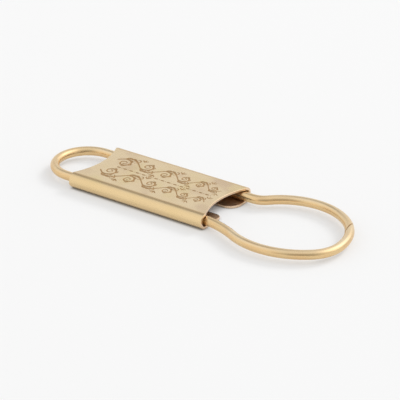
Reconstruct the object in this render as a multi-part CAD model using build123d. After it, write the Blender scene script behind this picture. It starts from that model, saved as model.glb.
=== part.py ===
from build123d import *
import math
import os

# Keychain bottle opener: a folded brass sheet sleeve that slides on a bent brass wire.
# Millimetres.  +X runs along the legs of the wire from the small loop to the big one, +Y is
# the rear side, +Z is up.  The origin is on the surface that the object lies on, under the
# middle of the small loop's half circle, where the object hangs from a key ring.

# --- sleeve: one brass sheet, its two sides rolled round the legs of the wire -----------
SHEET = 0.8               # thickness of the brass sheet
SLEEVE_LENGTH = 51.3
SLEEVE_X = 29.0           # middle of the sleeve
SLEEVE_HEIGHT = 5.1       # over the rolled sides
ROLL_SPACING = 22.0       # between the axes of the two rolled sides
SCOOP_DEPTH = 2.6         # hollow in each end of the top plate
FRONT_FLAP_EDGE = -2.0    # inner edges of the two flaps underneath, the slot between them open
REAR_FLAP_EDGE = 4.0
FRONT_FLAP_CORNER = 2.2   # rounding of the flaps' inner corners
REAR_FLAP_CORNER = 4.0

# --- wire: one length of round brass, closed into two loops ------------------------------
WIRE_DIAMETER = 3.0
LEG_SPACING = 20.5        # between the centre lines of the two legs
BIG_LOOP_TIP = (97.0, -1.9)   # centre line of the wire at the far end of the big loop
FRONT_BENDS = [(11.6, 49.4), (24.0, 67.4)]   # radius and degrees turned, from the tip onwards
REAR_BENDS = [(20.3, 136.2)]                 # the rear half is rounder and turns in more tightly

# --- slit where the two ends of the wire meet, in the rear half of the big loop ----------
END_GAP = 0.25
END_TURN = 35.0           # degrees along the rear bend from the tip to the slit
END_SLANT = 62.0          # degrees by which the slit leans from square across the wire

SLIT_CUTTER = 5 * WIRE_DIAMETER   # reaches past the wire on both sides along the slant
WIRE_RADIUS = WIRE_DIAMETER / 2
SAME_PLACE = 0.01         # edges nearer than this to a place are the ones meant
LEG_Z = SLEEVE_HEIGHT / 2
LEG_Y = LEG_SPACING / 2


def sleeve():
    """The sheet as a flattened tube, open underneath along a slot."""
    outside = SlotCenterToCenter(ROLL_SPACING, SLEEVE_HEIGHT)
    inside = SlotCenterToCenter(ROLL_SPACING, SLEEVE_HEIGHT - 2 * SHEET)
    slot_middle = (FRONT_FLAP_EDGE + REAR_FLAP_EDGE) / 2
    slot_width = REAR_FLAP_EDGE - FRONT_FLAP_EDGE
    slot = Pos(slot_middle, -SLEEVE_HEIGHT / 4) * Rectangle(slot_width, SLEEVE_HEIGHT / 2)
    section = Plane.YZ * Pos(0, SLEEVE_HEIGHT / 2) * (outside - inside - slot)
    body = extrude(section, SLEEVE_LENGTH / 2, both=True)
    body = round_flap_corners(body)
    for end in (-1, 1):
        body -= scoop(end)
    return Pos(SLEEVE_X, 0, 0) * body


def round_flap_corners(body):
    for inner_edge, radius in (
            (FRONT_FLAP_EDGE, FRONT_FLAP_CORNER), (REAR_FLAP_EDGE, REAR_FLAP_CORNER)):
        corners = body.edges().filter_by(Axis.Z).filter_by(
            lambda e: abs(e.center().Y - inner_edge) < SAME_PLACE)
        body = fillet(corners, radius)
    return body


def scoop(end):
    """A shallow round bite out of one end of the top plate, from crease to crease."""
    half_chord = ROLL_SPACING / 2
    radius = (half_chord ** 2 + SCOOP_DEPTH ** 2) / (2 * SCOOP_DEPTH)
    centre_x = SLEEVE_LENGTH / 2 - SCOOP_DEPTH + radius
    top_plate = Pos(end * centre_x, 0, SLEEVE_HEIGHT * 3 / 4)
    return top_plate * Cylinder(radius, SLEEVE_HEIGHT / 2)


def wire_half(side, bends):
    """Centre line of one side of the wire, from the big loop's tip to the small loop."""
    edges = []
    point, heading = Vector(*BIG_LOOP_TIP), Vector(0, side)
    for radius, turn in bends:
        edges.append(JernArc(point, heading, radius, side * turn))
        point, heading = edges[-1] @ 1, edges[-1] % 1
    turn_back = sum(turn for _, turn in bends) - 90
    rise = side * point.Y - LEG_Y
    neck_radius = rise / (1 - math.cos(math.radians(turn_back)))
    neck = JernArc(point, heading, neck_radius, -side * turn_back)
    leg = Line(neck @ 1, (0, side * LEG_Y))
    return [Pos(0, 0, LEG_Z) * edge for edge in [*edges, neck, leg]]


def round_bar(edge):
    return sweep(Plane(edge @ 0, z_dir=edge % 0) * Circle(WIRE_RADIUS), path=edge)


def end_slit():
    """A thin slanted slab that parts the wire in the rear half of the big loop."""
    rear_turn = REAR_BENDS[0][1]
    middle = wire_half(1, REAR_BENDS)[0] @ (END_TURN / rear_turn)
    slab = Rot(0, 0, END_TURN + END_SLANT) * Box(SLIT_CUTTER, END_GAP, SLIT_CUTTER)
    return Pos(middle) * slab


def wire_ring():
    """The wire in the order it runs: from one side of the slit round to the other."""
    small_loop = ThreePointArc((0, LEG_Y, LEG_Z), (-LEG_Y, 0, LEG_Z), (0, -LEG_Y, LEG_Z))
    rear_bend, *rear_rest = wire_half(1, REAR_BENDS)
    front = wire_half(-1, FRONT_BENDS)
    rear_ends = (round_bar(rear_bend) - end_slit()).solids().sort_by(Axis.X)
    bar = rear_ends[0]
    for edge in [*rear_rest, small_loop, *reversed(front)]:
        bar += round_bar(edge)
    return bar + rear_ends[1]


os.makedirs("parts", exist_ok=True)
export_step(sleeve(), "parts/sleeve.step")
export_step(wire_ring(), "parts/wire_ring.step")
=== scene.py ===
import math
import bpy
import bmesh
import numpy as np
from mathutils import Matrix, Vector


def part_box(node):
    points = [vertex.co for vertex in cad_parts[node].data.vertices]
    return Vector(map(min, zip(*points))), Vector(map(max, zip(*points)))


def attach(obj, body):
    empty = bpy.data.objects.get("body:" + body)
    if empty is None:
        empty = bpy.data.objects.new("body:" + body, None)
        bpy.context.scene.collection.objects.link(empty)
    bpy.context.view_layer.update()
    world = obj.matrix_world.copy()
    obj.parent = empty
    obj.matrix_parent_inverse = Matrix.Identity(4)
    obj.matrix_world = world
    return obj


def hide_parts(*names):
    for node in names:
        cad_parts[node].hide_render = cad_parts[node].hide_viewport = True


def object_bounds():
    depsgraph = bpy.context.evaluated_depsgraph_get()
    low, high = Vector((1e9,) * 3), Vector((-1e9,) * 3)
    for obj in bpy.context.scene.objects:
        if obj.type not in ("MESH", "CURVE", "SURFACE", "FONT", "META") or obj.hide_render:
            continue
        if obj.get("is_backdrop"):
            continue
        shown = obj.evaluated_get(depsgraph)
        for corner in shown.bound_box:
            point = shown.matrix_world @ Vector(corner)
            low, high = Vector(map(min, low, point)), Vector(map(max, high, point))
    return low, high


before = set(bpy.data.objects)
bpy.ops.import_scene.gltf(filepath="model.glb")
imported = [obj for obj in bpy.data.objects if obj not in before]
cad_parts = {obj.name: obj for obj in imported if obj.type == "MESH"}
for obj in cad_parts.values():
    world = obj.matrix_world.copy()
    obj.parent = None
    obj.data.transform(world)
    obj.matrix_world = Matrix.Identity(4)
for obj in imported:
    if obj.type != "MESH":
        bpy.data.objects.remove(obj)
cad_low, cad_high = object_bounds()

# Shapes are in millimetres in the part's own frame, and MM turns them into metres. Materials, the
# floor and the lamp are in metres.
MM = 0.001

# --- sleeve, as packed ---------------------------------------------------------------------
sleeve_low, sleeve_high = (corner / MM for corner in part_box("sleeve"))
SLEEVE_X = (sleeve_low.x + sleeve_high.x) / 2
SLEEVE_LENGTH = sleeve_high.x - sleeve_low.x
SLEEVE_HEIGHT = sleeve_high.z - sleeve_low.z
ROLL_SPACING = sleeve_high.y - sleeve_low.y - SLEEVE_HEIGHT
SHEET = 0.8                 # thickness
SCOOP_DEPTH = 2.6           # hollow in each end of the top
FRONT_FLAP_EDGE = -2.0      # where the flaps underneath end, across the sleeve
REAR_FLAP_EDGE = 4.0
FRONT_FLAP_CORNER = 2.2
REAR_FLAP_CORNER = 4.0
EDGE_ROUNDING = 0.16        # of the sheet's cut edge
SHEET_COLUMNS = 24          # faces along the sleeve
SCOOP_RADIUS = ((ROLL_SPACING / 2) ** 2 + SCOOP_DEPTH ** 2) / (2 * SCOOP_DEPTH)

# --- wire, as packed -----------------------------------------------------------------------
WIRE_RADIUS = 1.5
LEG_Y = 10.25
LEG_Z = SLEEVE_HEIGHT / 2
BIG_LOOP_TIP_X = 97.0
BIG_LOOP_TIP_Y = -1.9
FRONT_BENDS = [(11.6, 49.4), (24.0, 67.4)]      # radius and degrees, from the tip onwards
REAR_BENDS = [(20.3, 136.2)]
END_GAP = 0.25              # slit where the wire's ends meet
END_TURN = 35.0             # degrees along the rear bend, from the tip to the slit
END_SLANT = 62.0            # degrees that the slit leans from square across the wire
END_ROUNDING = 0.05
WIRE_SIDES = 40
WIRE_RING_SPACING = 0.45


def new_piece(name, bm, body, node):
    """Makes an object of a mesh drawn in millimetres, riding on a body in place of its node."""
    mesh = bpy.data.meshes.new(name)
    bmesh.ops.recalc_face_normals(bm, faces=bm.faces)
    bm.to_mesh(mesh)
    bm.free()
    mesh.transform(Matrix.Scale(MM, 4))
    mesh.polygons.foreach_set("use_smooth", [True] * len(mesh.polygons))
    piece = bpy.data.objects.new(name, mesh)
    bpy.context.scene.collection.objects.link(piece)
    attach(piece, body)
    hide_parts(node)
    return piece


# --- the wire ------------------------------------------------------------------------------
def neck(side, bends):
    """Radius and turn of the S-bend that brings one side of the big loop back to its leg."""
    y = side * BIG_LOOP_TIP_Y
    turned = 0.0
    for radius, turn in bends:
        y += radius * (math.sin(math.radians(turned + turn)) - math.sin(math.radians(turned)))
        turned += turn
    turn_back = turned - 90
    return (y - LEG_Y) / (1 - math.cos(math.radians(turn_back))), -turn_back


def follow(point, heading, runs, spacing=0.4):
    """Points and headings along arcs (radius, degrees) and straights (None, length)."""
    points, headings = [point], [heading]
    for radius, amount in runs:
        length = amount if radius is None else radius * math.radians(abs(amount))
        steps = max(2, round(length / spacing))
        turn = 0 if radius is None else math.radians(amount) / steps
        chord = length / steps if radius is None else 2 * radius * math.sin(abs(turn) / 2)
        for _ in range(steps):
            middle = heading + turn / 2
            point = (point[0] + chord * math.cos(middle), point[1] + chord * math.sin(middle))
            heading += turn
            points.append(point)
            headings.append(heading)
    return np.array(points), np.array(headings)


SLIT_OVERRUN = 15.0         # degrees that the centre line runs on past the slit
SLIT_EASE = 10.0            # length over which the rings turn from the slit's slant to square
CUT_ROUNDS = 12             # of Newton's method, to find where the surface meets the slit


def wire_line():
    """The wire's centre line, from past one side of the slit round to past the other."""
    rear_radius, rear_turn = REAR_BENDS[0]
    angle = math.radians(END_TURN - SLIT_OVERRUN)
    start_x = BIG_LOOP_TIP_X - rear_radius * (1 - math.cos(angle))
    start = (start_x, BIG_LOOP_TIP_Y + rear_radius * math.sin(angle))
    to_leg = [(rear_radius, rear_turn - END_TURN + SLIT_OVERRUN), neck(1, REAR_BENDS)]
    rear, rear_heading = follow(start, angle + math.pi / 2, to_leg)
    from_leg = [neck(-1, FRONT_BENDS), *reversed(FRONT_BENDS), (rear_radius, END_TURN + SLIT_OVERRUN)]
    front, front_heading = follow((0.0, -LEG_Y), 0.0, from_leg)
    end_angle = math.radians(END_TURN + SLIT_OVERRUN)
    front_leg = BIG_LOOP_TIP_X - rear_radius * (1 - math.cos(end_angle)) - front[-1][0]
    legs = [(None, rear[-1][0]), (LEG_Y, 180), (None, front_leg)]
    middle, middle_heading = follow(tuple(rear[-1]), math.pi, legs)
    front[:, 0] += front_leg
    flat = np.concatenate([rear, middle[1:], front[1:]])
    heading = np.concatenate([rear_heading, middle_heading[1:], 2 * math.pi + front_heading[1:]])
    level = np.zeros(len(flat))
    points = np.column_stack([flat, level + LEG_Z])
    tangent = np.column_stack([np.cos(heading), np.sin(heading), level])
    outward = np.column_stack([np.sin(heading), -np.cos(heading), level])
    return points, tangent, outward


class Wire:
    """The centre line as a curve that can be asked for any place along it."""

    def __init__(self):
        self.points, self.tangents, self.outwards = wire_line()
        steps = np.linalg.norm(np.diff(self.points, axis=0), axis=1)
        self.places = np.concatenate([[0], np.cumsum(steps)])
        overrun = REAR_BENDS[0][0] * math.radians(SLIT_OVERRUN)
        self.start = overrun
        self.end = self.places[-1] - overrun

    def at(self, place, values):
        """Values of the centre line at lengths along it."""
        return np.stack([np.interp(place, self.places, values[:, k]) for k in range(3)], axis=-1)

    def surface(self, place, angle, radius):
        """Points round the centre line at lengths along it."""
        outward = self.at(place, self.outwards)
        upward = np.cross(outward, self.at(place, self.tangents))
        aside = np.cos(angle)[:, None] * outward + np.sin(angle)[:, None] * upward
        return self.at(place, self.points) + radius * aside

    def cut(self, place, angle, offset):
        """Where each line along the wire's surface meets one side of the slit."""
        lean = math.radians(END_TURN + END_SLANT)
        normal = np.array([-math.sin(lean), math.cos(lean), 0])
        turn = math.radians(END_TURN)
        x = BIG_LOOP_TIP_X - REAR_BENDS[0][0] * (1 - math.cos(turn))
        middle = np.array([x, BIG_LOOP_TIP_Y + REAR_BENDS[0][0] * math.sin(turn), 0])
        found = np.full(len(angle), place)
        for _ in range(CUT_ROUNDS):
            error = (self.surface(found, angle, WIRE_RADIUS) - middle) @ normal - offset
            found = found - error / (self.at(found, self.tangents) @ normal)
        return found


def build_wire():
    """One bar of round wire, from one side of the slit to the other."""
    wire = Wire()
    angle = np.arange(WIRE_SIDES) * 2 * math.pi / WIRE_SIDES
    first = wire.cut(wire.start, angle, END_GAP / 2)
    last = wire.cut(wire.end, angle, -END_GAP / 2)
    bm = bmesh.new()
    place_layer = bm.verts.layers.float_vector.new("wire_place")
    end_layer = bm.verts.layers.float.new("cut_edge")

    def ring(place, radius, push, wear_and_painted_highlight):
        """One ring of vertices, which leans with the slit where it is near one."""
        from_start = max(0.0, 1 - (place - wire.start) / SLIT_EASE)
        to_end = max(0.0, 1 - (wire.end - place) / SLIT_EASE)
        moved = place + (first - wire.start) * from_start + (last - wire.end) * to_end + push
        made = [bm.verts.new(p) for p in wire.surface(moved, angle, radius)]
        for v, where, turn in zip(made, moved, angle):
            v[place_layer] = Vector((where, radius * math.cos(turn), radius * math.sin(turn))) * MM
            v[end_layer] = wear_and_painted_highlight
        return made

    steps = round((wire.end - wire.start) / WIRE_RING_SPACING)
    inner = np.linspace(wire.start, wire.end, steps)[1:-1]
    halfway = END_ROUNDING * 0.3
    rounded = (
        (WIRE_RADIUS - END_ROUNDING, 0),
        (WIRE_RADIUS - halfway, halfway),
        (WIRE_RADIUS, END_ROUNDING),
    )
    rings = [ring(wire.start, radius, push, 1) for radius, push in rounded]
    rings += [ring(place, WIRE_RADIUS, 0, 0) for place in inner]
    rings += [ring(wire.end, radius, -push, 1) for radius, push in reversed(rounded)]
    for a, b in zip(rings, rings[1:]):
        for k in range(WIRE_SIDES):
            n = (k + 1) % WIRE_SIDES
            bm.faces.new((a[k], a[n], b[n], b[k]))
    bm.faces.new(rings[0])
    bm.faces.new(rings[-1])
    return new_piece("wire_bar", bm, "ring", "wire_ring")


# --- the sleeve ----------------------------------------------------------------------------
ROLL_RADIUS = (SLEEVE_HEIGHT - SHEET) / 2       # of the middle of the sheet's thickness

# Widths of the flat sheet's parts, and places across it from the front flap's edge.
FRONT_FLAP = ROLL_SPACING / 2 + FRONT_FLAP_EDGE
REAR_FLAP = ROLL_SPACING / 2 - REAR_FLAP_EDGE
ROLL = math.pi * ROLL_RADIUS
TOP_START = FRONT_FLAP + ROLL
TOP_MIDDLE = TOP_START + ROLL_SPACING / 2
TOP_END = TOP_START + ROLL_SPACING
SHEET_WIDTH = TOP_END + ROLL + REAR_FLAP


def fold(x, s, lift):
    """Where a point of the flat sheet ends up: s is across it, lift outwards from its middle."""
    side, flap = -1, FRONT_FLAP
    if s > TOP_MIDDLE:
        side, flap, s = 1, REAR_FLAP, SHEET_WIDTH - s
    if s < flap:
        return (x, side * (ROLL_SPACING / 2 - flap + s), SHEET / 2 - lift)
    if s < flap + ROLL:
        turn = (s - flap) / ROLL_RADIUS
        reach = ROLL_RADIUS + lift
        y = ROLL_SPACING / 2 + reach * math.sin(turn)
        return (x, side * y, SLEEVE_HEIGHT / 2 - reach * math.cos(turn))
    return (x, side * (ROLL_SPACING / 2 - (s - flap - ROLL)), SLEEVE_HEIGHT - SHEET / 2 + lift)


def end_cut(s):
    """How far the sheet's end is cut back at s."""
    if s < FRONT_FLAP_CORNER:
        return FRONT_FLAP_CORNER - math.sqrt(FRONT_FLAP_CORNER ** 2 - (FRONT_FLAP_CORNER - s) ** 2)
    from_rear = SHEET_WIDTH - s
    if from_rear < REAR_FLAP_CORNER:
        return REAR_FLAP_CORNER - math.sqrt(REAR_FLAP_CORNER ** 2 - (REAR_FLAP_CORNER - from_rear) ** 2)
    y = abs(s - TOP_MIDDLE)
    if y < ROLL_SPACING / 2:
        return SCOOP_DEPTH - SCOOP_RADIUS + math.sqrt(SCOOP_RADIUS ** 2 - y ** 2)
    return 0.0


def across_stations():
    """Places across the sheet, close together where its edge curves or where it rolls."""
    corner = [FRONT_FLAP_CORNER * (1 - math.cos(a)) for a in np.linspace(0, math.pi / 2, 9)]
    flap = list(np.linspace(FRONT_FLAP_CORNER, FRONT_FLAP, 9)[1:])
    roll = list(np.linspace(FRONT_FLAP, TOP_START, 33)[1:])
    top = list(np.linspace(TOP_START, TOP_END, 61)[1:])
    roll_back = list(np.linspace(TOP_END, TOP_END + ROLL, 33)[1:])
    flap_back = list(np.linspace(TOP_END + ROLL, SHEET_WIDTH - REAR_FLAP_CORNER, 6)[1:])
    turns_back = np.linspace(math.pi / 2, 0, 19)[1:]
    corner_back = [SHEET_WIDTH - REAR_FLAP_CORNER * (1 - math.cos(a)) for a in turns_back]
    return corner + flap + roll + top + roll_back + flap_back + corner_back


def sheet_outline(stations):
    """The cut edge of the flat sheet, once round, and its inward directions."""
    half = SLEEVE_LENGTH / 2
    left = [(-half + end_cut(s), s) for s in stations]
    right = [(half - end_cut(s), s) for s in stations]
    first, last = left[0], left[-1]
    near = [(x, 0.0) for x in np.linspace(first[0], right[0][0], SHEET_COLUMNS + 1)[1:-1]]
    far = [(x, SHEET_WIDTH) for x in np.linspace(last[0], right[-1][0], SHEET_COLUMNS + 1)[1:-1]]
    loop = np.array(near + right + far[::-1] + left[::-1])
    ahead = np.roll(loop, -1, axis=0) - loop
    ahead /= np.linalg.norm(ahead, axis=1)[:, None]
    behind = np.roll(ahead, 1, axis=0)
    inward = np.stack([-(ahead + behind)[:, 1], (ahead + behind)[:, 0]], axis=1)
    inward /= np.linalg.norm(inward, axis=1)[:, None]
    return loop, inward


def build_sleeve():
    """The folded sheet: its rounded cut edge, its two faces, and the engraved panel on top."""
    stations = across_stations()
    rows = len(stations)
    loop, inward = sheet_outline(stations)
    half_sheet = SHEET / 2
    quarter = np.linspace(0, math.pi / 2, 5)
    outer_rim = []
    for turn in quarter:
        inset = EDGE_ROUNDING * (1 - math.sin(turn))
        outer_rim.append((inset, half_sheet - EDGE_ROUNDING * (1 - math.cos(turn))))
    inner_rim = [(inset, -lift) for inset, lift in reversed(outer_rim)]
    bm = bmesh.new()
    edge_layer = bm.verts.layers.float.new("cut_edge")
    cut_layer = bm.verts.layers.float.new("engraved")
    inside_layer = bm.verts.layers.float.new("inside")
    place_layer = bm.verts.layers.float_vector.new("sheet_place")

    def place(x, s, lift):
        """A vertex of the folded sheet that remembers where it lay on the flat one."""
        v = bm.verts.new(fold(SLEEVE_X + x, s, lift))
        v[place_layer] = Vector((x, s, lift)) * MM
        v[inside_layer] = 0.5 - lift / SHEET
        return v

    rims = []
    for inset, lift in outer_rim + inner_rim:
        line = loop + inward * inset
        made = [place(x, min(max(s, 0.0), SHEET_WIDTH), lift) for x, s in line]
        for v in made:
            v[edge_layer] = 1.0 - inset / EDGE_ROUNDING
        rims.append(made)
    count = len(loop)
    for a, b in zip(rims, rims[1:]):
        for k in range(count):
            n = (k + 1) % count
            bm.faces.new((a[k], a[n], b[n], b[k]))

    near_count = SHEET_COLUMNS - 1
    right_at = near_count
    far_at = near_count + rows
    left_at = far_at + near_count

    def skin(rim, lift, skip_top):
        """Fills one face of the sheet between its rims, leaving the flat top out if asked."""
        grid = []
        inset_line = loop + inward * EDGE_ROUNDING
        for i in range(rows):
            left = left_at + rows - 1 - i
            right = right_at + i
            row = [rim[left]]
            for j in range(1, SHEET_COLUMNS):
                if i == 0:
                    row.append(rim[j - 1])
                elif i == rows - 1:
                    row.append(rim[far_at + near_count - j])
                else:
                    t = j / SHEET_COLUMNS
                    x, s = inset_line[left] * (1 - t) + inset_line[right] * t
                    row.append(place(x, s, lift))
            row.append(rim[right])
            grid.append(row)
        top_first = next(i for i, s in enumerate(stations) if s >= TOP_START - 1e-6)
        top_last = next(i for i, s in enumerate(stations) if s >= TOP_END - 1e-6)
        for i in range(rows - 1):
            if skip_top and top_first <= i < top_last:
                continue
            for j in range(SHEET_COLUMNS):
                bm.faces.new((grid[i][j], grid[i][j + 1], grid[i + 1][j + 1], grid[i + 1][j]))
        return grid, top_first, top_last

    skin(rims[-1], -half_sheet, False)
    grid, top_first, top_last = skin(rims[0], half_sheet, True)
    unused = [v for row in grid[top_first + 1:top_last] for v in row[1:-1]]
    for v in unused:
        bm.verts.remove(v)
    outline = [*grid[top_first], *(row[-1] for row in grid[top_first + 1:top_last])]
    outline += [*reversed(grid[top_last]), *(row[0] for row in reversed(grid[top_first + 1:top_last]))]
    border = engraved_panel(bm, cut_layer, place_layer)
    edges = []
    for around in (outline, border):
        for a, b in zip(around, around[1:] + around[:1]):
            edges.append(bm.edges.get((a, b)) or bm.edges.new((a, b)))
    bmesh.ops.triangle_fill(bm, use_beauty=True, use_dissolve=False, edges=edges)
    piece = new_piece("sleeve_sheet", bm, "slider", "sleeve")
    weighted = piece.modifiers.new("weighted_normals", "WEIGHTED_NORMAL")
    weighted.weight = 100
    return piece


# --- engraved ornament: mirrored scrolling vines, with no letters in them -------------------
PANEL_LENGTH = 44.0
PANEL_WIDTH = 19.6
PANEL_CELL = 0.115
ENGRAVING_DEPTH = 0.08
GROOVE_SOFTNESS = 0.09      # that a groove's side reaches past its stroke
GROOVE_STEEPNESS = 1.7
VINE_Y = 4.6
VINE_START = -19.8
VINE_WAVES = (8.4, 7.8, 7.2, 6.4, 5.6, 4.8)     # lengths
STROKE_STEP = 0.06          # between the points of a stroke
TIP_WIDTH = 0.06            # half width that tendrils and leaves thin out to
# Place along the wave, degrees of lean, radius, turns, side.
TENDRILS = (
    (0.22, 48, 1.7, 0.62, -1),
    (0.42, 40, 1.5, 0.55, -1),
    (0.62, 30, 1.3, 0.50, -1),
    (0.80, 80, 1.4, 0.50, 1),
)
# Place along the spiral, degrees of lean, turns.
LEAVES = ((0.20, 55, 0.30), (0.34, 60, 0.34), (0.48, 60, 0.34))
FIRST_BEAD = -16.0
BEADS_END = 19.0
BEAD_SPACING = 2.45


def curl(start, heading, radius, tightening, turns, side):
    """Points along a stroke that leaves start along heading and winds up."""
    x, y = start
    points = [(x, y)]
    wound = 0.0
    while wound < turns * 2 * math.pi:
        r = radius * math.exp(-tightening * wound)
        turn = STROKE_STEP / r
        middle = heading + side * turn / 2
        x += STROKE_STEP * math.cos(middle)
        y += STROKE_STEP * math.sin(middle)
        heading += side * turn
        wound += turn
        points.append((x, y))
    return points


def tapered(points, thick, thin):
    """Stroke points with half widths that swell soon after the start and thin out to the end."""
    last = len(points) - 1
    stroke = []
    for i, (x, y) in enumerate(points):
        t = min(1.0, 0.12 + i / last)
        stroke.append((x, y, thin + (thick - thin) * max(0.0, math.sin(math.pi * t)) ** 0.8))
    return stroke


def vine_wave(start_x, length, side):
    """One wave of the vine: its stem, the spiral inside it, tendrils, leaves and a bud."""
    size = length / VINE_WAVES[0]
    height = side * 2.5 * size ** 0.4

    def on(t):
        """A place on the stem, t running from 0 to 1 along the wave."""
        return start_x + length * t, VINE_Y + height * math.sin(math.pi * t)

    def slope(t):
        """The stem's heading there."""
        return math.atan2(height * math.pi * math.cos(math.pi * t), length)

    steps = round(length / STROKE_STEP)
    strokes = [[(*on(i / steps), 0.19 * size + 0.02) for i in range(steps + 1)]]
    spiral = curl(on(0.14), slope(0.14) * 0.9, length * 0.345, 0.15, 1.62, -side)
    strokes.append(tapered(spiral, 0.31 * size, 0.09))
    strokes.append([(*spiral[-1], 0.30 * size)])
    for t, lean, radius, turns, way in TENDRILS:
        heading = slope(t) + side * math.radians(lean)
        tendril = curl(on(t), heading, radius * size, 0.28, turns, way * side)
        strokes.append(tapered(tendril, 0.23 * size, TIP_WIDTH))
    for t, lean, turns in LEAVES:
        i = int(t * len(spiral))
        (ax, ay), (bx, by) = spiral[i:i + 2]
        heading = math.atan2(by - ay, bx - ax) + side * math.radians(lean)
        leaf = curl((ax, ay), heading, 1.05 * size, 0.2, turns, -side)
        strokes.append(tapered(leaf, 0.2 * size, TIP_WIDTH))
    bud_x, bud_y = start_x + length * 0.98, VINE_Y + height * 1.25
    strokes.append([(bud_x, bud_y, 0.26 * size)])
    for lean in (-50, 0, 50):
        a = math.radians(side * 90 + lean)
        petal = []
        for r in np.arange(0.4, 1.3, STROKE_STEP):
            half_width = 0.17 * size * math.sin(math.pi * r / 1.5) + 0.03
            petal.append((bud_x + r * math.cos(a), bud_y + r * math.sin(a), half_width))
        strokes.append(petal)
    return strokes


def ornament():
    """A vine on each side of the middle, the mirror image of the other, and a beaded line."""
    vine = []
    x = VINE_START
    for i, length in enumerate(VINE_WAVES):
        vine += vine_wave(x, length, 1 if i % 2 == 0 else -1)
        x += length
    strokes = vine + [[(x, -y, w) for x, y, w in stroke] for stroke in vine]
    for bead_x in np.arange(FIRST_BEAD, BEADS_END, BEAD_SPACING):
        bead = np.arange(-0.75, 0.76, STROKE_STEP)
        strokes.append([(bead_x + d * 0.8, 0.0, 0.24 * math.cos(d * math.pi / 2) + 0.02) for d in bead])
        strokes.append([(bead_x + 1.22, 0.0, 0.13)])
    return strokes


def groove_depths(xs, ys):
    """How deep the ornament is cut, from 0 to 1, at each crossing of a grid."""
    depth = np.zeros((len(ys), len(xs)))
    for stroke in ornament():
        for x, y, half_width in stroke:
            reach = half_width + GROOVE_SOFTNESS
            i0, i1 = np.searchsorted(xs, (x - reach, x + reach))
            j0, j1 = np.searchsorted(ys, (y - reach, y + reach))
            gap = np.hypot(xs[None, i0:i1] - x, ys[j0:j1, None] - y)
            here = np.clip(1 - gap / reach, 0, 1) * min(1.0, 0.45 + 2.0 * half_width)
            depth[j0:j1, i0:i1] = np.maximum(depth[j0:j1, i0:i1], here)
    depth = np.clip(depth * GROOVE_STEEPNESS, 0, 1)
    for border in (depth[0], depth[-1], depth[:, 0], depth[:, -1]):
        border[:] = 0
    return depth * depth * (3 - 2 * depth)


def engraved_panel(bm, cut, place):
    """A fine grid in the flat top, with the ornament sunk into it. Returns its border."""
    xs = np.linspace(-PANEL_LENGTH / 2, PANEL_LENGTH / 2, round(PANEL_LENGTH / PANEL_CELL) + 1)
    ys = np.linspace(-PANEL_WIDTH / 2, PANEL_WIDTH / 2, round(PANEL_WIDTH / PANEL_CELL) + 1)
    depths = groove_depths(xs, ys)
    grid = []
    for y, depth_row in zip(ys, depths):
        row = []
        for x, depth in zip(xs, depth_row):
            v = bm.verts.new((SLEEVE_X + x, y, SLEEVE_HEIGHT - ENGRAVING_DEPTH * depth))
            v[cut] = depth
            v[place] = Vector((x, TOP_MIDDLE + y, SHEET / 2)) * MM
            row.append(v)
        grid.append(row)
    for a, b in zip(grid, grid[1:]):
        for i in range(len(xs) - 1):
            bm.faces.new((a[i], a[i + 1], b[i + 1], b[i]))
    right = [row[-1] for row in grid[1:-1]]
    left = [row[0] for row in grid[-2:0:-1]]
    return grid[0] + right + grid[-1][::-1] + left


# --- materials -----------------------------------------------------------------------------
class Graph:
    """Short hand for building the nodes of a material or of the world."""

    def __init__(self, owner):
        owner.use_nodes = True
        self.owner = owner
        self.tree = owner.node_tree
        self.shader = self.tree.nodes.get("Principled BSDF")

    def add(self, kind, inputs=(), **settings):
        """A new node with its settings and inputs filled in."""
        made = self.tree.nodes.new(kind)
        for name, value in settings.items():
            setattr(made, name, value)
        for name, value in dict(inputs).items():
            self.put(made.inputs[name], value)
        return made

    def put(self, socket, value):
        """Links a socket to another, or sets it to a constant."""
        if isinstance(value, bpy.types.NodeSocket):
            self.tree.links.new(value, socket)
        else:
            socket.default_value = value

    def stretched(self, place, stretch):
        """A place scaled along each axis, which draws a noise out into streaks."""
        mapping = self.add("ShaderNodeMapping", {"Vector": place, "Scale": stretch})
        return mapping.outputs["Vector"]

    def noise(self, place, scale, detail=3.0, roughness=0.55):
        """Noise of about 0.2 to 0.8, with so many grains to a metre."""
        inputs = {"Vector": place, "Scale": scale, "Detail": detail, "Roughness": roughness}
        return self.add("ShaderNodeTexNoise", inputs).outputs["Fac"]

    def ramp(self, value, low, high, out_low=0.0, out_high=1.0):
        """A smooth step from out_low to out_high while the value goes from low to high."""
        inputs = {"Value": value, "From Min": low, "From Max": high}
        inputs.update({"To Min": out_low, "To Max": out_high})
        made = self.add("ShaderNodeMapRange", inputs, interpolation_type="SMOOTHSTEP")
        return made.outputs["Result"]

    def mix(self, factor, first, second):
        """The first colour turning into the second as the factor goes from 0 to 1."""
        made = self.add("ShaderNodeMix", data_type="RGBA")
        self.put(made.inputs["Factor"], factor)
        self.put(made.inputs["A"], first)
        self.put(made.inputs["B"], second)
        return made.outputs["Result"]

    def math(self, operation, first, second):
        """A sum, difference, product or other operation on two values."""
        made = self.add("ShaderNodeMath", operation=operation)
        self.put(made.inputs[0], first)
        self.put(made.inputs[1], second)
        return made.outputs["Value"]

    def attribute(self, name, output="Fac"):
        """A value or vector that the mesh holds at its vertices."""
        return self.add("ShaderNodeAttribute", attribute_name=name).outputs[output]

    def bump(self, height, distance, below=None):
        """A normal bent by a height, on top of the bump below if there is one."""
        inputs = {"Height": height, "Distance": distance, "Strength": 1.0}
        if below is not None:
            inputs["Normal"] = below
        return self.add("ShaderNodeBump", inputs).outputs["Normal"]


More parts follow.
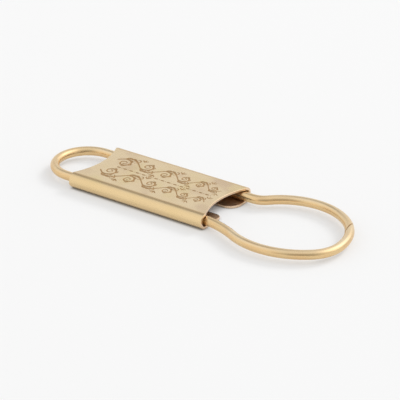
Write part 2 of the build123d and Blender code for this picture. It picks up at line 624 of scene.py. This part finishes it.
# Brass, from its polished colours to its dull ones.
PALE_BRASS = (0.84, 0.675, 0.435, 1)
GOLD_BRASS = (0.81, 0.600, 0.320, 1)
TAN_BRASS = (0.66, 0.470, 0.260, 1)
ROSE_BRASS = (0.82, 0.620, 0.440, 1)
WIRE_PALE = (0.88, 0.705, 0.460, 1)
WIRE_GOLD = (0.80, 0.550, 0.280, 1)
WIRE_TAN = (0.68, 0.440, 0.210, 1)
YELLOW_BRASS = (0.815, 0.665, 0.355, 1)
ROSY_TARNISH = (0.655, 0.480, 0.330, 1)
ENGRAVED_BROWN = (0.47, 0.270, 0.105, 1)
BROWN_PATINA = (0.42, 0.245, 0.100, 1)
INSIDE_PATINA = (0.78, 0.570, 0.410, 1)


def sheet_finish():
    """Satin sheet brass: brushed along its length, mottled, brown in the engraving and inside, and
    darker along the creases as painted shade.

    The places on the sheet are in metres: the flat top ends 0.011 from its middle and the rolls
    at 0.0178.
    """
    g = Graph(bpy.data.materials.new("sheet_finish"))
    place = g.attribute("sheet_place", "Vector")
    brushed = g.noise(g.stretched(place, (1.0, 26.0, 26.0)), 170.0, 4.0, 0.6)
    mottle = g.noise(place, 130.0, 5.0, 0.6)
    fine = g.noise(place, 900.0, 3.0, 0.6)
    scratches = g.noise(g.stretched(place, (1.6, 60.0, 60.0)), 90.0, 2.0, 0.4)
    directions = g.add("ShaderNodeSeparateXYZ", {"Vector": place}).outputs
    along, across = directions["X"], directions["Y"]
    from_middle = g.math("ABSOLUTE", g.math("SUBTRACT", across, TOP_MIDDLE * MM), 0.0)
    rolled = g.ramp(from_middle, 0.0108, 0.0130)
    colour = g.mix(g.ramp(mottle, 0.42, 0.75, 0.0, 0.5), PALE_BRASS, GOLD_BRASS)
    yellow = g.noise(g.stretched(place, (1.2, 1.0, 1.0)), 120.0, 2.0, 0.5)
    colour = g.mix(g.ramp(yellow, 0.50, 0.66, 0.0, 0.55), colour, YELLOW_BRASS)
    tarnish = g.math("ADD", g.noise(place, 85.0, 3.0, 0.5), g.ramp(along, 0.008, 0.020, 0.0, 0.04))
    colour = g.mix(g.ramp(tarnish, 0.50, 0.72, 0.0, 0.65), colour, ROSY_TARNISH)
    colour = g.mix(g.math("MULTIPLY", rolled, 0.85), colour, GOLD_BRASS)
    # Painted shade: a darker band along each crease, where the flat top meets a roll.
    entering = g.ramp(from_middle, 0.0106, 0.0112)
    leaving = g.ramp(from_middle, 0.0114, 0.0121, 1.0, 0.0)
    painted_crease_shade = g.math("MULTIPLY", entering, leaving)
    colour = g.mix(g.math("MULTIPLY", painted_crease_shade, 0.8), colour, TAN_BRASS)
    colour = g.mix(g.ramp(brushed, 0.50, 0.85, 0.0, 0.22), colour, TAN_BRASS)
    colour = g.mix(g.ramp(fine, 0.62, 0.80, 0.0, 0.10), colour, TAN_BRASS)
    edge = g.attribute("cut_edge")
    colour = g.mix(g.ramp(edge, 0.2, 1.0), colour, ROSE_BRASS)
    cut = g.attribute("engraved")
    colour = g.mix(g.ramp(cut, 0.02, 0.55, 0.0, 0.88), colour, ENGRAVED_BROWN)
    inside = g.ramp(g.attribute("inside"), 0.75, 1.0)
    past_the_roll = g.ramp(from_middle, 0.0155, 0.0175)
    beside_the_top = g.ramp(from_middle, 0.0108, 0.0122, 1.0, 0.0)
    dull = g.math("MULTIPLY", inside, g.math("ADD", past_the_roll, beside_the_top))
    colour = g.mix(g.math("MULTIPLY", dull, 0.93), colour, INSIDE_PATINA)
    g.put(g.shader.inputs["Base Color"], colour)
    in_the_roll = g.math("SUBTRACT", inside, dull)
    g.put(g.shader.inputs["Metallic"], g.ramp(in_the_roll, 0.0, 1.0, 1.0, 0.3))
    rough = g.ramp(brushed, 0.3, 0.8, 0.19, 0.29)
    rough = g.math("ADD", rough, g.ramp(mottle, 0.3, 0.75, 0.0, 0.06))
    rough = g.math("ADD", rough, g.math("MULTIPLY", cut, 0.25))
    rough = g.math("ADD", rough, g.math("MULTIPLY", inside, 0.2))
    g.put(g.shader.inputs["Roughness"], rough)
    lumps = g.bump(mottle, 0.00005)
    lines = g.bump(brushed, 0.000008, lumps)
    g.put(g.shader.inputs["Normal"], g.bump(scratches, 0.000008, lines))
    return g.owner


def wire_finish():
    """Drawn wire brass: streaks along the wire, golder than the sheet, worn on its cut ends, and paler
    along its top as a painted highlight.
    """
    g = Graph(bpy.data.materials.new("wire_finish"))
    place = g.attribute("wire_place", "Vector")
    streaks = g.noise(g.stretched(place, (1.0, 22.0, 22.0)), 150.0, 4.0, 0.6)
    mottle = g.noise(place, 120.0, 5.0, 0.6)
    fine = g.noise(place, 1100.0, 3.0, 0.6)
    cloudy = g.noise(place, 55.0, 2.0, 0.5)
    height = g.add("ShaderNodeSeparateXYZ", {"Vector": place}).outputs["Z"]
    # Painted highlight: the top of the wire is made paler, in cloudy patches, where the highlight
    # falls.
    wear_and_painted_highlight = g.math("MULTIPLY", g.ramp(height, 0.0006, 0.0013), g.ramp(cloudy, 0.35, 0.65, 0.35, 1.0))
    colour = g.mix(g.ramp(mottle, 0.35, 0.68), WIRE_GOLD, GOLD_BRASS)
    colour = g.mix(wear_and_painted_highlight, colour, WIRE_PALE)
    colour = g.mix(g.ramp(streaks, 0.45, 0.80, 0.0, 0.6), colour, WIRE_TAN)
    colour = g.mix(g.ramp(fine, 0.62, 0.80, 0.0, 0.25), colour, TAN_BRASS)
    colour = g.mix(g.math("MULTIPLY", g.attribute("cut_edge"), 0.4), colour, BROWN_PATINA)
    g.put(g.shader.inputs["Base Color"], colour)
    g.shader.inputs["Metallic"].default_value = 1.0
    rough = g.ramp(streaks, 0.3, 0.8, 0.20, 0.32)
    g.put(g.shader.inputs["Roughness"], g.math("ADD", rough, g.ramp(mottle, 0.3, 0.75, 0.0, 0.06)))
    lumps = g.bump(mottle, 0.00005)
    g.put(g.shader.inputs["Normal"], g.bump(streaks, 0.000010, lumps))
    return g.owner


wire = build_wire()
sleeve = build_sleeve()
wire.data.materials.append(wire_finish())
sleeve.data.materials.append(sheet_finish())


# --- studio --------------------------------------------------------------------------------
FLOOR_SIZE = 4.0            # metres from its middle to its sides
PAPER_GLOW = 0.445
CONTACT_REACH = 1.0 * MM    # less than the wire's clearance, so only the sleeve darkens the paper
COVER_REACH = 20.0 * MM     # tells the paper inside the sleeve from the paper beside it


def paper():
    """Pale paper that glows a little to stay evenly white, with painted shadow where the object stands
    on it or covers it, where the glow is dimmed.
    """
    g = Graph(bpy.data.materials.new("paper"))
    contact = g.add("ShaderNodeAmbientOcclusion", {"Distance": CONTACT_REACH}).outputs["AO"]
    covered = g.add("ShaderNodeAmbientOcclusion", {"Distance": COVER_REACH}).outputs["AO"]
    limits = {"Value": covered, "From Min": 0.05, "From Max": 0.40}
    open_sky = g.add("ShaderNodeMapRange", limits).outputs["Result"]
    # Painted shadow: the glow is dimmed where the sleeve touches the paper and where the object covers
    # it.
    glow = g.math("MULTIPLY", g.math("MULTIPLY", contact, open_sky), PAPER_GLOW)
    g.put(g.shader.inputs["Emission Strength"], glow)
    g.shader.inputs["Emission Color"].default_value = (1, 1, 1, 1)
    g.shader.inputs["Base Color"].default_value = (0.42, 0.42, 0.42, 1)
    g.shader.inputs["Roughness"].default_value = 0.9
    g.shader.inputs["Specular IOR Level"].default_value = 0.0
    return g.owner


def build_floor():
    """A plain sheet of paper under everything."""
    bm = bmesh.new()
    corners = ((-1, -1), (1, -1), (1, 1), (-1, 1))
    bm.faces.new([bm.verts.new((x * FLOOR_SIZE, y * FLOOR_SIZE, 0)) for x, y in corners])
    mesh = bpy.data.meshes.new("floor")
    bm.to_mesh(mesh)
    bm.free()
    floor = bpy.data.objects.new("floor", mesh)
    bpy.context.scene.collection.objects.link(floor)
    mesh.materials.append(paper())
    floor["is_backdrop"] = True


CAMERA_AZIMUTH = 35.5       # degrees round from the front, towards the big loop
CAMERA_ELEVATION = 26.2
CAMERA_DISTANCE = 693.6     # millimetres from the table under the middle of the sleeve
CAMERA_ASIDE = 12.76        # millimetres that it is then moved to its right and down
CAMERA_DROP = 1.76
CAMERA_LENS = 198.0         # millimetres, for a sensor 36 wide


def build_camera():
    """The camera, at the photograph's viewing angle."""
    azimuth, elevation = math.radians(CAMERA_AZIMUTH), math.radians(CAMERA_ELEVATION)
    right = Vector((math.cos(azimuth), math.sin(azimuth), 0))
    towards_camera = Vector((math.sin(azimuth), -math.cos(azimuth), 0))
    back = towards_camera * math.cos(elevation) + Vector((0, 0, math.sin(elevation)))
    up = back.cross(right)
    place = Vector((SLEEVE_X, 0, 0)) + back * CAMERA_DISTANCE
    place += right * CAMERA_ASIDE - up * CAMERA_DROP
    camera = bpy.data.objects.new("camera", bpy.data.cameras.new("camera"))
    camera.data.sensor_width = 36.0
    camera.data.lens = CAMERA_LENS
    camera.data.clip_start = 0.05
    camera.data.clip_end = 20.0
    facing = Matrix((right, up, back)).transposed().to_4x4()
    camera.matrix_world = Matrix.Translation(place * MM) @ facing
    bpy.context.scene.collection.objects.link(camera)
    bpy.context.scene.camera = camera


KEY_DIRECTION = (0.20, 0.79, 0.575)
KEY_DISTANCE = 4.0          # metres
KEY_SIZE = 1.3              # metres across
KEY_POWER = 62.0            # watts


def build_key_light():
    """A soft lamp behind the object and above it, towards +Y, that throws the shadows."""
    direction = Vector(KEY_DIRECTION).normalized()
    light = bpy.data.lights.new("key", "AREA")
    light.shape = "DISK"
    light.size = KEY_SIZE
    light.energy = KEY_POWER
    key = bpy.data.objects.new("key", light)
    place = Vector((SLEEVE_X * MM, 0, 0)) + direction * KEY_DISTANCE
    facing = direction.to_track_quat("Z", "Y").to_matrix().to_4x4()
    key.matrix_world = Matrix.Translation(place) @ facing
    key.visible_glossy = False      # the room has a bright patch there for the metal to reflect
    bpy.context.scene.collection.objects.link(key)


ROOM_BRIGHTNESS = 0.86
# Direction of a patch's middle, cosines of the angles from it where the patch starts and where it
# is full, and how much brighter or darker it is.
ROOM_PATCHES = (
    ((-0.52, 0.36, 0.78), 0.92, 0.99, -0.38),
    ((-0.52, -0.75, 0.42), 0.55, 0.98, 0.15),
    (KEY_DIRECTION, 0.86, 0.98, 0.45),
    ((0.55, -0.77, 0.25), 0.70, 0.98, -0.40),
    ((0.56, 0.44, 0.70), 0.82, 0.98, 0.75),
)


def build_world():
    """A white room, a little darker or brighter in the places that the metal reflects."""
    world = bpy.data.worlds.new("studio")
    bpy.context.scene.world = world
    g = Graph(world)
    looking = g.add("ShaderNodeTexCoord").outputs["Generated"]
    brightness = ROOM_BRIGHTNESS
    for direction, start, full, strength in ROOM_PATCHES:
        dot = g.add("ShaderNodeVectorMath", operation="DOT_PRODUCT")
        g.put(dot.inputs[0], looking)
        g.put(dot.inputs[1], Vector(direction).normalized())
        patch = g.ramp(dot.outputs["Value"], start, full, 0.0, strength)
        brightness = g.math("ADD", brightness, patch)
    background = g.tree.nodes["Background"]
    background.inputs["Color"].default_value = (1, 1, 1, 1)
    g.put(background.inputs["Strength"], brightness)


build_floor()
build_camera()
build_key_light()
build_world()
bpy.context.scene.view_settings.view_transform = "Standard"

corners = [list(cad_low), list(cad_high)]
corners += [list(corner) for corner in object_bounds()]
